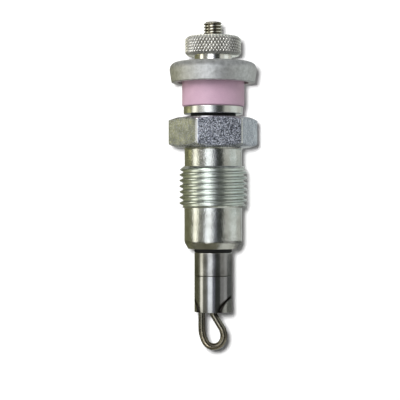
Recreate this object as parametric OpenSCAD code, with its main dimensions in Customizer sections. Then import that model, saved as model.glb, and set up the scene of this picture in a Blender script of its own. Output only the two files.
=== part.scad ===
// Two-pole diesel glow plug with an open heater wire loop and a thumb-nut terminal.
// Millimetres. +Z runs up the axis to the terminal. The origin is on the axis, at the nose of the sealing cone.

/* [Threaded body] */
// Included angle of the sealing cone
cone_angle = 60; // [40:1:80]
// Height of the sealing cone
cone_h = 1.8; // [1:0.1:2.6]
// Diameter of the plain shank below the thread
shank_d = 15.4; // [14:0.1:16]
// Length of the plain shank
shank_len = 9.1; // [4:0.1:20]
// Major diameter of the cylinder head thread
thread_d = 18; // [17:0.5:20]
// Pitch of the cylinder head thread
thread_pitch = 1.5; // [1:0.25:2]
// Length of the threaded band
thread_len = 11; // [8:0.5:20]
// Height of the first crest on the +X side, as a share of the pitch
thread_start = 0.33; // [0:0.01:1]
// Diameter of the neck under the hexagon
neck_d = 15.3; // [14:0.1:16]
// Length of the neck
neck_len = 5.1; // [3:0.1:10]
// Fillet between the neck and the hexagon
neck_fillet = 0.9; // [0.3:0.1:2]
// Width of the hexagon across its flats
hex_af = 21; // [20:0.5:24]
// Height of the hexagon
hex_h = 7.9; // [5:0.1:12]
// Turn of the front flat towards +X
hex_turn = 8.5; // [0:0.5:30]
// Slope of the chamfer at both ends of the hexagon
hex_chamfer_angle = 20; // [15:1:40]
// Distance of the chamfer's circle inside the flats
hex_chamfer_inset = 0.6; // [0.2:0.1:1.5]
// Depth of the bevel on the six corners
hex_corner_cut = 0.1; // [0.05:0.05:0.6]

/* [Outer pole] */
// Diameter of the outer pole below the body
pole_d = 10; // [9.6:0.1:11]
// Diameter of the outer pole's neck inside the body
pole_neck_d = 8; // [7.6:0.1:8.4]
// Bore of the outer pole
pole_bore_d = 6; // [5.8:0.1:6.6]
// Length of the thick end of the tube
tube_len = 6.4; // [4:0.1:12]
// Chamfer round the top of the thick end
tube_chamfer = 0.3; // [0.1:0.1:0.8]
// Length of the tip sleeve
tip_len = 9.5; // [9.3:0.1:16]
// Diameter of the ring nut
ring_d = 15.8; // [14:0.1:17]
// Height of the ring nut
ring_h = 2.1; // [1.5:0.1:5]
// Chamfer round the ring nut
ring_chamfer = 0.25; // [0.1:0.05:0.6]

/* [Tip insulator] */
// Radius of the half-round cross slot in the tip sleeve
slot_r = 4.25; // [3:0.05:4.4]
// Open joint between the cross key and its slot
key_joint = 0.4; // [0.2:0.05:0.8]
// Turn of the cross key from +X
key_turn = -16; // [-90:1:90]
// Wall of the tip sleeve round the ceramic
socket_wall = 0.65; // [0.4:0.05:0.7]
// Metal left in the sleeve above the cross slot
socket_roof = 0.15; // [0.1:0.05:0.5]
// Thickness of the web that holds the wire of the outer pole
web_h = 1.6; // [1:0.1:1.8]
// Diameter of the ceramic's spigot in that web
web_bore_d = 3.5; // [3:0.1:3.7]

/* [Heater loop] */
// Diameter of the heater wire
wire_d = 1.85; // [1.2:0.05:1.95]
// Distance of the straight leg from the axis
leg_offset = 3.05; // [2.95:0.05:3.15]
// Lean of the returning leg
leg_lean = 31; // [28:1:34]
// Bend radius where the straight leg begins to curve
side_r = 7.9; // [7.5:0.1:9]
// Angle turned by that bend
side_turn = 28; // [24:1:30]
// Bend radius round the bottom of the loop
bottom_r = 2.6; // [2.5:0.05:3]
// Angle turned round the bottom
bottom_turn = 139; // [130:1:145]
// Bend radius at the start of the returning leg
return_r = 4.2; // [3:0.05:5]
// Bend radius where the returning leg enters the ceramic
entry_r = 2; // [1:0.1:2.5]

/* [Centre pole] */
// Diameter of the centre pole and its stud thread
stud_d = 5; // [4.6:0.1:5.2]
// Pitch of the stud thread
stud_pitch = 0.8; // [0.5:0.05:1]
// Free end of the stud above the thumb nut
stud_end = 3.9; // [2:0.1:10]
// Diameter of the foot that the lock nut draws up
foot_d = 6.8; // [6.2:0.1:7.2]
// Height of the foot
foot_h = 0.7; // [0.4:0.05:0.8]
// Diameter of the pin that meets the heater wire
pin_d = 2.4; // [2:0.1:2.6]
// Depth of the pin's end above the ceramic's face
pin_depth = 2.3; // [1.5:0.1:3]
// Width of the lock nut across its flats
lock_nut_af = 8; // [7:0.1:8.5]
// Height of the lock nut
lock_nut_h = 4; // [3:0.1:5]

/* [Insulation] */
// Wall of the sleeve between the body and the outer pole
body_sleeve_wall = 0.45; // [0.3:0.05:0.8]
// Height of the ring under the body's nose
lower_ring_h = 0.9; // [0.5:0.1:2]
// Diameter of the washer on the hexagon
upper_washer_d = 12.1; // [11:0.1:15]
// Height of the washer on the hexagon
upper_washer_h = 0.9; // [0.5:0.1:2]
// Diameter of the washer under the lock nut
centre_washer_d = 11; // [9.5:0.1:11.4]
// Height of the washer under the lock nut
centre_washer_h = 1; // [0.6:0.1:1.5]
// Thickness of the flange at the foot of the centre sleeve
flange_h = 0.5; // [0.3:0.05:0.6]

/* [Terminal] */
// Diameter of the ceramic bush
bush_d = 16.6; // [15.4:0.1:18]
// Height of the ceramic bush
bush_h = 8.6; // [8.2:0.1:14]
// Thickness of the bush's top
bush_top = 2; // [1:0.1:2.2]
// Rounding of the bush's edges
bush_edge_r = 0.4; // [0.1:0.05:0.8]
// Widest diameter of the cap
cap_d = 23.3; // [22.5:0.1:28]
// Height of the cap
cap_h = 5.5; // [4.6:0.1:9]
// Rounding of the cap's top edge
cap_edge_r = 2; // [1:0.1:2.4]
// Rounding of the cap's rim
cap_rim_r = 0.35; // [0.1:0.05:0.5]
// Narrowing of the cap's radius down to its rim
cap_taper = 0.55; // [0.1:0.05:0.8]
// Wall of the cap's rim
cap_wall = 1.6; // [1.2:0.1:2]
// Depth of the hollow under the cap
cap_hollow = 2.3; // [1:0.1:3]

/* [Thumb nut] */
// Diameter of the collar
collar_d = 10; // [8.5:0.1:12]
// Height of the collar
collar_h = 1.7; // [1:0.1:3]
// Diameter over the knurl
knurl_d = 14.9; // [13:0.1:18]
// Height of the knurled head
knurl_h = 5.1; // [4:0.1:8]
// Chamfer round the knurled head
knurl_chamfer = 0.7; // [0.4:0.05:1]
// Depth of the knurl's grooves
knurl_depth = 0.3; // [0.1:0.05:0.4]
// Diamonds round the knurl
knurl_count = 50; // [40:1:70]
// Rows of diamonds
knurl_rows = 5; // [4:1:7]
// Countersink at both ends of the nut's bore
nut_countersink = 0.4; // [0.2:0.05:0.6]

/* [Fits] */
// Radial gap between pieces that slip together
fit_gap = 0.05; // [0.02:0.01:0.1]
// Radial gap round the stud in the cap and the bush
stud_gap = 0.2; // [0.1:0.05:0.4]
// Clearance round the washer under the lock nut, inside the bush
hollow_gap = 0.3; // [0.1:0.05:1]
// Insulating space under the centre pole's foot
foot_gap = 0.3; // [0.2:0.05:0.5]

/* [Hidden] */
$fn = 96;
// Depth of a metric outside thread as a share of its pitch
thread_depth_ratio = 0.6134;
// One turn of a metric thread up its side: share of the pitch from the crest, and share of the depth
thread_form = [[-1 / 16, 0], [1 / 16, 0], [3 / 8, 1], [5 / 8, 1]];
thread_sides = 36;
// Step from the shank or the neck up to the thread's chamfer, and the least one from there up to its root
thread_step = 0.1;
// Overshoot of a cut past the face that it opens
cut = 1;
arc_steps = 10;
wire_sides = 20;
wire_bend_step = 6;
half_turn = 180;
// Turns of the threaded bar that lie below its band
thread_lead = 2;

// Heights of the stack above the nose
thread_z = cone_h + shank_len;
thread_mid_z = thread_z + thread_len / 2;
neck_z = thread_z + thread_len;
hex_z = neck_z + neck_len;
hex_top_z = hex_z + hex_h;
washer_top_z = hex_top_z + upper_washer_h;
ring_top_z = washer_top_z + ring_h;
bush_top_z = ring_top_z + bush_h;
cap_z = bush_top_z - cap_hollow;
cap_top_z = cap_z + cap_h;
collar_top_z = cap_top_z + collar_h;
nut_top_z = collar_top_z + knurl_h;
stud_top_z = nut_top_z + stud_end;

// Heights of the stack below the nose
shoulder_z = -lower_ring_h;
joint_z = shoulder_z - tube_len;
tip_z = joint_z - tip_len;
web_z = tip_z + slot_r + socket_roof;
web_top_z = web_z + web_h;
foot_z = web_top_z + foot_gap;
flange_z = foot_z + foot_h;
spigot_z = flange_z + flange_h;
pin_z = tip_z + pin_depth;

// Radii
shank_r = shank_d / 2;
thread_r = thread_d / 2;
neck_r = neck_d / 2;
nose_r = shank_r - cone_h * tan(cone_angle / 2);
thread_depth = thread_depth_ratio * thread_pitch;
thread_end_r = max(shank_r, neck_r) + thread_step;
thread_root_r = max(thread_r - thread_depth, thread_end_r + thread_step);
pole_r = pole_d / 2;
pole_neck_r = pole_neck_d / 2;
pole_bore_r = pole_bore_d / 2;
spigot_r = pole_neck_r;
body_sleeve_r = pole_neck_r + fit_gap + body_sleeve_wall;
body_bore_r = body_sleeve_r + fit_gap;
socket_r = pole_r - socket_wall;
web_bore_r = web_bore_d / 2;
wire_r = wire_d / 2;
stud_r = stud_d / 2;
stud_point = thread_depth_ratio * stud_pitch;
lock_nut_corner_r = lock_nut_af / 2 / cos(30);
bush_hollow_r = centre_washer_d / 2 + hollow_gap;

// A round stretch of an outline
function arc(centre, r, from, to) =
    [for (i = [0 : arc_steps])
        let (a = from + (to - from) * i / arc_steps)
        centre + r * [cos(a), sin(a)]];

// A turned ring with a plain bore
module ring(inner_r, outer_r, z, h) {
    translate([0, 0, z])
        difference() {
            cylinder(r = outer_r, h = h);
            translate([0, 0, -cut])
                cylinder(r = inner_r, h = h + 2 * cut);
        }
}

// A round bar, or the hole that one leaves, up from a height
module rod(r, z, h) {
    translate([0, 0, z])
        cylinder(r = r, h = h);
}

// The cone and the shank, up into the thread
module shank() {
    rotate_extrude()
        polygon([[0, 0], [nose_r, 0], [shank_r, cone_h], [shank_r, thread_mid_z], [0, thread_mid_z]]);
}

// The neck, out of the thread and with a fillet under the hexagon
module neck() {
    rotate_extrude()
        polygon(concat(
            [[0, thread_mid_z], [neck_r, thread_mid_z]],
            arc([neck_r + neck_fillet, hex_z - neck_fillet], neck_fillet, half_turn, 90),
            [[0, hex_z]]));
}

// A point of the helix: columns run round the axis, and rows run up through turn after turn of the form
function thread_point(column, row) =
    let (share = column / thread_sides,
         form = thread_form[row % len(thread_form)],
         turn = floor(row / len(thread_form)) - thread_lead,
         r = thread_r - form[1] * (thread_r - thread_root_r),
         a = 2 * half_turn * share)
    [r * cos(a), r * sin(a), thread_z + thread_pitch * (turn + share + thread_start + form[0])];

// A right-hand threaded bar, longer than the band at both ends.
// Where its last column meets the first, each row goes on one turn higher.
module threaded_bar() {
    turn_rows = len(thread_form);
    turns = thread_lead + ceil(thread_len / thread_pitch) + 1;
    rows = turn_rows * turns;
    seam = thread_sides - 1;
    points = [for (column = [0 : seam], row = [0 : rows - 1]) thread_point(column, row)];
    foot = len(points);
    walls = [
        for (column = [0 : seam], row = [0 : rows - 2 - (column == seam ? turn_rows : 0)])
            let (a = column * rows + row,
                 b = column == seam ? row + turn_rows : a + rows)
            each [[a, a + 1, b + 1], [a, b + 1, b]]];
    low_edge = concat(
        [for (column = [0 : seam]) column * rows],
        [for (row = [turn_rows : -1 : 1]) row]);
    high_edge = concat(
        [for (column = [0 : seam]) column * rows + rows - 1],
        [for (row = [1 : turn_rows]) thread_sides * rows - 1 - row]);
    edge_count = len(low_edge);
    caps = [
        for (i = [0 : edge_count - 1])
            let (next = (i + 1) % edge_count)
            each [[foot, low_edge[i], low_edge[next]], [foot + 1, high_edge[next], high_edge[i]]]];
    polyhedron(
        points = concat(
            points,
            [[0, 0, thread_z - thread_lead * thread_pitch], [0, 0, neck_z + thread_lead * thread_pitch]]),
        faces = concat(walls, caps));
}

// The threaded band, chamfered where it starts and ends
module head_thread() {
    outer_r = thread_r + thread_step;
    chamfer = outer_r - thread_end_r;
    intersection() {
        threaded_bar();
        rotate_extrude()
            polygon([
                [0, thread_z], [thread_end_r, thread_z], [outer_r, thread_z + chamfer],
                [outer_r, neck_z - chamfer], [thread_end_r, neck_z], [0, neck_z]]);
    }
}

// The hexagon, chamfered at both ends and bevelled on its corners
module hexagon() {
    corner_r = hex_af / 2 / cos(30) - hex_corner_cut;
    face_r = hex_af / 2 - hex_chamfer_inset;
    chamfer_h = (corner_r - face_r) * tan(hex_chamfer_angle);
    translate([0, 0, hex_z])
        intersection() {
            rotate(hex_turn)
                cylinder(d = hex_af / cos(30), h = hex_h, $fn = 6);
            rotate_extrude()
                polygon([
                    [0, 0], [face_r, 0], [corner_r, chamfer_h],
                    [corner_r, hex_h - chamfer_h], [face_r, hex_h], [0, hex_h]]);
        }
}

module plug_body() {
    color("lightslategray")
        difference() {
            union() {
                shank();
                head_thread();
                neck();
                hexagon();
            }
            rod(body_bore_r, -cut, hex_top_z + 2 * cut);
        }
}

module body_insulating_sleeve() {
    color("tan")
        ring(pole_neck_r + fit_gap, body_sleeve_r, 0, hex_top_z);
}

module lower_insulating_ring() {
    color("black")
        ring(pole_neck_r + fit_gap, pole_r, shoulder_z, lower_ring_h);
}

module upper_insulating_washer() {
    color("black")
        ring(pole_neck_r + fit_gap, upper_washer_d / 2, hex_top_z, upper_washer_h);
}

module outer_pole_tube() {
    color("dimgray")
        difference() {
            rotate_extrude()
                polygon([
                    [0, spigot_z], [spigot_r, spigot_z], [spigot_r, joint_z], [pole_r, joint_z],
                    [pole_r, shoulder_z - tube_chamfer], [pole_r - tube_chamfer, shoulder_z],
                    [pole_neck_r, shoulder_z], [pole_neck_r, ring_top_z], [0, ring_top_z]]);
            rod(pole_bore_r, spigot_z - cut, ring_top_z - spigot_z + 2 * cut);
        }
}

// A bar across the axis, half above the face of the tip sleeve
module cross_bar(r) {
    translate([0, 0, tip_z])
        rotate([0, 90, key_turn])
            cylinder(r = r, h = 2 * (pole_r + cut), center = true);
}

module outer_pole_tip() {
    color("silver")
        difference() {
            rod(pole_r, tip_z, tip_len);
            rod(spigot_r + fit_gap, web_top_z, joint_z - web_top_z + cut);
            rod(web_bore_r, web_z - cut, web_h + 2 * cut);
            rod(socket_r, tip_z - cut, web_z - tip_z + cut);
            cross_bar(slot_r);
            translate([-leg_offset, 0, 0])
                rod(wire_r + fit_gap, web_z - cut, web_h + 2 * cut);
        }
}

module tip_insulator() {
    color("gray")
        difference() {
            union() {
                rod(socket_r - fit_gap, tip_z, web_z - tip_z);
                rod(web_bore_r - fit_gap, web_z, web_h);
                intersection() {
                    cross_bar(slot_r - key_joint);
                    rod(pole_r, tip_z, web_z - tip_z);
                }
            }
            rod(pin_d / 2 + fit_gap, pin_z, web_top_z - pin_z + cut);
            rod(wire_r + fit_gap, tip_z - cut, pin_z - tip_z + 2 * cut);
            translate([-leg_offset, 0, 0])
                rod(wire_r + fit_gap, tip_z - cut, web_z - tip_z + 2 * cut);
        }
}

// The loop lies in the XZ plane. A state is [x, z, heading], and the heading turns from down towards +X.
function side_of(heading) = [cos(heading), sin(heading)];
function ahead(heading) = [sin(heading), -cos(heading)];
function arc_move(r, heading, turn) =
    sign(turn) * r * (side_of(heading) - side_of(heading + turn));
function moved(state, step, turn) = [state[0] + step[0], state[1] + step[1], state[2] + turn];
function after(state, r, turn) = moved(state, arc_move(r, state[2], turn), turn);

// The returning leg is as long as it takes to reach the axis, and its last bend ends at the ceramic's face
return_turn = half_turn + leg_lean - side_turn - bottom_turn;
bends_move = arc_move(side_r, 0, side_turn)
    + arc_move(bottom_r, side_turn, bottom_turn)
    + arc_move(return_r, side_turn + bottom_turn, return_turn);
entry_move = arc_move(entry_r, half_turn + leg_lean, -leg_lean);
lean_len = (bends_move[0] + entry_move[0] - leg_offset) / sin(leg_lean);
bend_z = tip_z - bends_move[1] - entry_move[1] - lean_len * cos(leg_lean);
side_start = [-leg_offset, bend_z, 0];
bottom_start = after(side_start, side_r, side_turn);
return_start = after(bottom_start, bottom_r, bottom_turn);
lean_start = after(return_start, return_r, return_turn);
entry_start = moved(lean_start, lean_len * ahead(half_turn + leg_lean), 0);
entry_end = after(entry_start, entry_r, -leg_lean);

// States along a bend, up to the one where the next stretch starts
function bend_states(state, r, turn) =
    let (steps = ceil(abs(turn) / wire_bend_step))
    [for (i = [0 : steps - 1]) after(state, r, turn * i / steps)];

loop_states = concat(
    [[-leg_offset, web_top_z, 0]],
    bend_states(side_start, side_r, side_turn),
    bend_states(bottom_start, bottom_r, bottom_turn),
    bend_states(return_start, return_r, return_turn),
    [lean_start],
    bend_states(entry_start, entry_r, -leg_lean),
    [entry_end, [0, pin_z, half_turn]]);

// A ring of points round the wire, square to its heading and counter-clockwise as seen from ahead
function wire_ring(state) =
    let (side = side_of(state[2]))
    [for (i = [0 : wire_sides - 1])
        let (a = 2 * half_turn * i / wire_sides)
        [state[0] + wire_r * cos(a) * side[0], -wire_r * sin(a), state[1] + wire_r * cos(a) * side[1]]];

// A closed skin over rings of points, each with the same count.
// Its squares are cut corner to corner, all one way or by turns.
module ring_skin(rings, by_turns = false) {
    around = len(rings[0]);
    last = len(rings) - 1;
    walls = [
        for (row = [0 : last - 1], i = [0 : around - 1])
            let (a = row * around + i,
                 b = row * around + (i + 1) % around,
                 c = b + around,
                 d = a + around)
            each (by_turns && (i + row) % 2 == 1 ? [[a, d, b], [d, c, b]] : [[a, d, c], [a, c, b]])];
    first_face = [for (i = [0 : around - 1]) i];
    last_face = [for (i = [0 : around - 1]) (last + 1) * around - 1 - i];
    polyhedron(points = [for (points = rings) each points], faces = concat([first_face], [last_face], walls));
}

module heater_loop() {
    color("dimgray")
        ring_skin([for (state = loop_states) wire_ring(state)]);
}

module centre_pole() {
    color("gainsboro")
        rotate_extrude()
            polygon([
                [0, pin_z], [pin_d / 2, pin_z], [pin_d / 2, foot_z], [foot_d / 2, foot_z],
                [foot_d / 2, flange_z], [stud_r, flange_z], [stud_r, stud_top_z - stud_point],
                [stud_r - stud_point, stud_top_z], [0, stud_top_z]]);
}

module centre_insulating_sleeve() {
    color("tan")
        union() {
            ring(stud_r + fit_gap, pole_bore_r - fit_gap, spigot_z, ring_top_z - spigot_z);
            ring(stud_r + fit_gap, spigot_r - fit_gap, flange_z, flange_h);
        }
}

module outer_pole_ring() {
    r = ring_d / 2;
    color("lightgray")
        difference() {
            rotate_extrude()
                polygon([
                    [0, washer_top_z], [r - ring_chamfer, washer_top_z], [r, washer_top_z + ring_chamfer],
                    [r, ring_top_z - ring_chamfer], [r - ring_chamfer, ring_top_z], [0, ring_top_z]]);
            rod(pole_neck_r + fit_gap, washer_top_z - cut, ring_h + 2 * cut);
        }
}

module centre_insulating_washer() {
    color("tan")
        ring(stud_r + fit_gap, centre_washer_d / 2, ring_top_z, centre_washer_h);
}

module centre_lock_nut() {
    nut_z = ring_top_z + centre_washer_h;
    color("silver")
        difference() {
            translate([0, 0, nut_z])
                cylinder(r = lock_nut_corner_r, h = lock_nut_h, $fn = 6);
            rod(stud_r + fit_gap, nut_z - cut, lock_nut_h + 2 * cut);
        }
}

module insulating_bush() {
    r = bush_d / 2;
    edge = bush_edge_r;
    color("plum")
        difference() {
            rotate_extrude()
                polygon(concat(
                    [[0, ring_top_z]],
                    arc([r - edge, ring_top_z + edge], edge, -90, 0),
                    arc([r - edge, bush_top_z - edge], edge, 0, 90),
                    [[0, bush_top_z]]));
            rod(bush_hollow_r, ring_top_z - cut, bush_h - bush_top + cut);
            rod(stud_r + stud_gap, ring_top_z - cut, bush_h + 2 * cut);
        }
}

module terminal_cap() {
    r = cap_d / 2;
    rim_r = r - cap_taper;
    slope = atan(cap_taper / (cap_h - cap_edge_r));
    color("darkgray")
        difference() {
            rotate_extrude()
                polygon(concat(
                    [[0, cap_z]],
                    arc([rim_r - cap_rim_r, cap_z + cap_rim_r], cap_rim_r, -90, -slope),
                    arc([r - cap_edge_r, cap_top_z - cap_edge_r], cap_edge_r, -slope, 90),
                    [[0, cap_top_z]]));
            rod(rim_r - cap_wall, cap_z - cut, cap_hollow + cut);
            rod(stud_r + stud_gap, cap_z - cut, cap_h + 2 * cut);
        }
}

// A ring of points round the nut. Every second point, as counted from the row, lies deeper.
function nut_ring(r, z, row = 0, depth = 0) =
    [for (i = [0 : 2 * knurl_count - 1])
        let (a = half_turn * i / knurl_count,
             point_r = r - (i + row) % 2 * depth)
        [point_r * cos(a), point_r * sin(a), z]];

// A knurled drum: peaks and groove crossings take turns round each ring and from ring to ring,
// and every square is cut along its groove, which leaves four-sided points
module knurled_drum() {
    knurl_z = collar_top_z + knurl_chamfer;
    row_h = (knurl_h - 2 * knurl_chamfer) / knurl_rows;
    end_r = knurl_d / 2 - knurl_chamfer;
    knurl = [for (row = [0 : knurl_rows]) nut_ring(knurl_d / 2, knurl_z + row * row_h, row, knurl_depth)];
    ring_skin(
        concat([nut_ring(end_r, collar_top_z)], knurl, [nut_ring(end_r, nut_top_z)]),
        by_turns = true);
}

// A countersink whose wide end is at one face of the nut
module countersink(z, up) {
    bore_r = stud_r + fit_gap;
    rotate_extrude()
        polygon([
            [0, z], [bore_r + nut_countersink, z], [bore_r, z - up * nut_countersink],
            [0, z - up * nut_countersink]]);
}

module thumb_nut() {
    nut_h = nut_top_z - cap_top_z;
    color("gainsboro")
        difference() {
            union() {
                knurled_drum();
                rod(collar_d / 2, cap_top_z, collar_h);
            }
            rod(stud_r + fit_gap, cap_top_z - cut, nut_h + 2 * cut);
            countersink(nut_top_z, 1);
            countersink(cap_top_z, -1);
        }
}

plug_body();
body_insulating_sleeve();
lower_insulating_ring();
upper_insulating_washer();
outer_pole_tube();
outer_pole_tip();
outer_pole_ring();
tip_insulator();
heater_loop();
centre_pole();
centre_insulating_sleeve();
centre_insulating_washer();
centre_lock_nut();
insulating_bush();
terminal_cap();
thumb_nut();
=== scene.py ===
import cmath
import math

import bmesh
import bpy
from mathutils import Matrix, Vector, noise


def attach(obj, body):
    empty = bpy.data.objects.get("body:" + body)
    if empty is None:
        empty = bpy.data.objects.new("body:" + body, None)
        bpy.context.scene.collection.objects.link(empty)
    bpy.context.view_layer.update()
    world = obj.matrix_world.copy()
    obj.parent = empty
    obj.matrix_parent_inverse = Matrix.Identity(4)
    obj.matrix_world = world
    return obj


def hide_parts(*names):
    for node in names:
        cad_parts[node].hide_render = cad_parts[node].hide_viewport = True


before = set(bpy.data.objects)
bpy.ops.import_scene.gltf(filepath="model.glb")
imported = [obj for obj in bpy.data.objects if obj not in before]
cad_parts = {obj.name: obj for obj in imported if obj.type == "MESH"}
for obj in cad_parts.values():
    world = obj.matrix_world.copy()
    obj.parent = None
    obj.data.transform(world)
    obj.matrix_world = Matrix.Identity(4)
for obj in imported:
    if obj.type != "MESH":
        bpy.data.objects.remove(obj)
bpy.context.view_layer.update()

scene = bpy.context.scene

# Units and mesh fineness
MM = 0.001
TURN = 2 * math.pi
WELD = 1e-6
ARC_STEP = math.radians(9)
EDGE_ANGLE = math.radians(38)
LATHE_COLUMNS = 160

# Threaded body, in millimetres
NOSE_R = 6.6608
CONE_H = 1.8
SHANK_R = 7.7
THREAD_Z = 10.9
THREAD_TOP = 21.9
THREAD_R = 9.0
THREAD_DEPTH = 0.9201
THREAD_PITCH = 1.5
THREAD_PHASE = 0.6
NECK_R = 7.65
NECK_FILLET = 0.9
HEX_Z = 27.0
HEX_TOP = 34.9
HEX_APOTHEM = 10.5
HEX_CORNER_R = 11.98
HEX_BEVEL = math.acos(HEX_APOTHEM / HEX_CORNER_R)
HEX_FACE_R = 9.9
HEX_CHAMFER = math.radians(20)
HEX_SIDES = 6
HEX_SIDE = TURN / HEX_SIDES
HEX_FRONT = math.radians(8.5) - TURN / 4
HEX_EDGE = 0.14
HEX_LIP_OUT = HEX_EDGE / 4
HEX_LIP_UP = HEX_EDGE / 5
HEX_EASE_OUT = 1 / 6
HEX_EASE_UP = 1 / 2
HEX_ROWS = 20
FLAT_COLUMNS = 36
FLAT_GRAIN = 0.018
FLAT_GRAIN_SCALE = 1.1
FLAT_FADE = 4
BODY_BORE_R = 4.55
CONE_ROUNDING = 2.0
NOSE_ROUNDING = 0.2

# Poles and tip, in millimetres
POLE_R = 5.0
POLE_NECK_R = 4.0
POLE_BORE_R = 3.0
SHOULDER_Z = -0.9
JOINT_Z = -7.3
JOINT_GROOVE = 0.12
TUBE_ROUNDING = 0.3
SPIGOT_Z = -9.3
TIP_Z = -16.8
TIP_EDGE = 0.06
TIP_EASE = 0.3 * TIP_EDGE
WEB_Z = -12.4
SOCKET_R = 4.35
SPIGOT_BORE_R = 4.05
SLOT_R = 4.25
KEY_TURN = math.radians(-16)
GLAZE_R = 4.9
KEY_R = 3.85
SLOT_SHADE_REACH = 0.45
JOINT_SHADE_REACH = 0.35
SLOT_COLUMNS = 48
WALL_COLUMNS = 28
WIRE_R = 0.925
WIRE_SIDES = 32
WIRE_STEP = math.radians(3)
LEG_OFFSET = 3.05
LEG_TOP = -10.8
LEG_RINGS = 16
LEG_LEAN = math.radians(31)
SIDE_R = 7.9
SIDE_TURN = math.radians(28)
BOTTOM_R = 2.6
BOTTOM_TURN = math.radians(139)
RETURN_R = 4.2
ENTRY_R = 2.0
PIN_Z = -14.5
WIRE_UNEVEN = 0.025
WIRE_UNEVEN_SCALE = 0.9

# Centre pole and thumb nut, in millimetres
PIN_R = 1.2
FOOT_Z = -10.5
FOOT_R = 3.4
FOOT_TOP = -9.8
STUD_R = 2.5
STUD_DEPTH = 0.4907
STUD_PITCH = 0.8
STUD_PHASE = 0.3
STUD_THREAD_Z = 46.0
STUD_TOP = 60.4
STUD_COLUMNS = 96
NUT_BORE_R = 2.55
NUT_COUNTERSINK = 0.4
COLLAR_R = 5.0
COLLAR_TOP = 51.4
COLLAR_EDGE = 0.15
HEAD_EDGE_IN = 0.1
HEAD_EDGE_OUT = 0.05
HEAD_EDGE_UP = 0.07
KNURL_R = 7.45
KNURL_CHAMFER = 0.7
KNURL_DEPTH = 0.3
KNURL_COUNT = 50
KNURL_ROWS = 5
KNURL_SAMPLES = 8
KNURL_LAND = 0.3
NUT_TOP = 56.5

# Insulation and terminal, in millimetres
WASHER_BORE_R = 4.05
WASHER_R = 6.05
WASHER_TOP = 35.8
WASHER_ROUNDING = 0.15
NOSE_RING_ROUNDING = 0.12
RING_R = 7.9
RING_TOP = 37.9
RING_CHAMFER = 0.25
BUSH_R = 8.3
BUSH_TOP = 46.5
BUSH_HOLLOW_R = 5.8
BUSH_ROOF = 2.0
BUSH_ROUNDING = 0.4
STUD_HOLE_R = 2.7
CAP_CORNER_R = 11.989
CAP_RIM_R = 11.1245
CAP_Z = 44.2
CAP_TOP = 49.7
CAP_ROUNDING = 2.0
CAP_RIM_ROUNDING = 0.35
CAP_HOLLOW_R = 9.5
CAP_HOLLOW_ROUNDING = 0.1


# Outline of (r, z) corners, each with its own rounding, as complex points
def rounded(corners):
    points = [complex(r, z) for r, z, _ in corners]
    outline = []
    for i, (_, _, size) in enumerate(corners):
        here = points[i]
        if size == 0:
            outline.append(here)
            continue
        back = points[i - 1] - here
        back /= abs(back)
        onward = points[(i + 1) % len(points)] - here
        onward /= abs(onward)
        half = abs(cmath.phase(onward / back)) / 2
        middle = (back + onward) / abs(back + onward)
        centre = here + middle * size / math.sin(half)
        start = here + back * size / math.tan(half) - centre
        end = here + onward * size / math.tan(half) - centre
        turn = cmath.phase(end / start)
        steps = max(2, math.ceil(abs(turn) / ARC_STEP))
        outline += [centre + start * cmath.exp(1j * turn * k / steps) for k in range(steps + 1)]
    return outline


# Mesh over columns of points in millimetres; each column is a closed line, and doubles are welded
def skin(name, columns):
    build = bmesh.new()
    grid = [[build.verts.new(Vector(point) * MM) for point in column] for column in columns]
    rows = len(columns[0])
    for left, right in zip(grid, grid[1:]):
        for low in range(rows):
            high = (low + 1) % rows
            build.faces.new((left[low], right[low], right[high], left[high]))
    bmesh.ops.remove_doubles(build, verts=build.verts, dist=WELD)
    bmesh.ops.recalc_face_normals(build, faces=build.faces)
    mesh = bpy.data.meshes.new(name)
    build.to_mesh(mesh)
    build.free()
    return mesh


# Point at a turn round the axis
def round_axis(r, angle, z):
    return (r * math.cos(angle), r * math.sin(angle), z)


def lathe(name, corners, count=LATHE_COLUMNS):
    outline = rounded(corners)
    angles = [TURN * i / count for i in range(count + 1)]
    return skin(name, [[round_axis(p.real, a, p.imag) for p in outline] for a in angles])


# Object from a mesh, with its materials, its CAD body and the node that it stands for
def add_piece(mesh, body, node, slot, *materials):
    piece = bpy.data.objects.new(mesh.name, mesh)
    scene.collection.objects.link(piece)
    for material in materials:
        mesh.materials.append(material)
    mesh.shade_smooth()
    mesh.set_sharp_from_angle(angle=EDGE_ANGLE)
    even = piece.modifiers.new("even_normals", "WEIGHTED_NORMAL")
    even.keep_sharp = True
    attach(piece, body)
    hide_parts(node)
    return piece


# Depth of each point in a band's grooves, from none on the crests to one at the roots
def mark_grooves(mesh, low, high, crest_r, depth):
    groove = mesh.attributes.new("groove", "FLOAT", "POINT")
    for vert in mesh.vertices:
        if low <= vert.co.z / MM <= high:
            r = Vector(vert.co[:2]).length / MM
            groove.data[vert.index].value = min(1, (crest_r - r) / depth)


# One turn of a metric thread: share of the pitch from the crest, and share of the depth
THREAD_FORM = (
    (-0.5, 1.0), (-0.42, 1.0), (-0.385, 0.95), (-0.25, 0.5), (-0.115, 0.05), (-0.08, 0.0),
    (0.08, 0.0), (0.115, 0.05), (0.25, 0.5), (0.385, 0.95), (0.42, 1.0),
)
# Turns past each end of a thread, which are held back at the end
SPARE_TURNS = 2


# Points of a right-hand thread up one side of its axis, held between its ends
def thread_points(angle, low, high, crest_r, depth, pitch, phase):
    start = angle / TURN + phase
    first = math.floor(low / pitch - phase) - SPARE_TURNS
    last = math.ceil(high / pitch - phase) + SPARE_TURNS
    points = []
    for turn in range(first, last):
        for along, share in THREAD_FORM:
            z = min(max(pitch * (start + turn + along), low), high)
            end_r = crest_r - depth + min(z - low, high - z)
            points.append((min(crest_r - share * depth, end_r), z))
    return points


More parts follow.
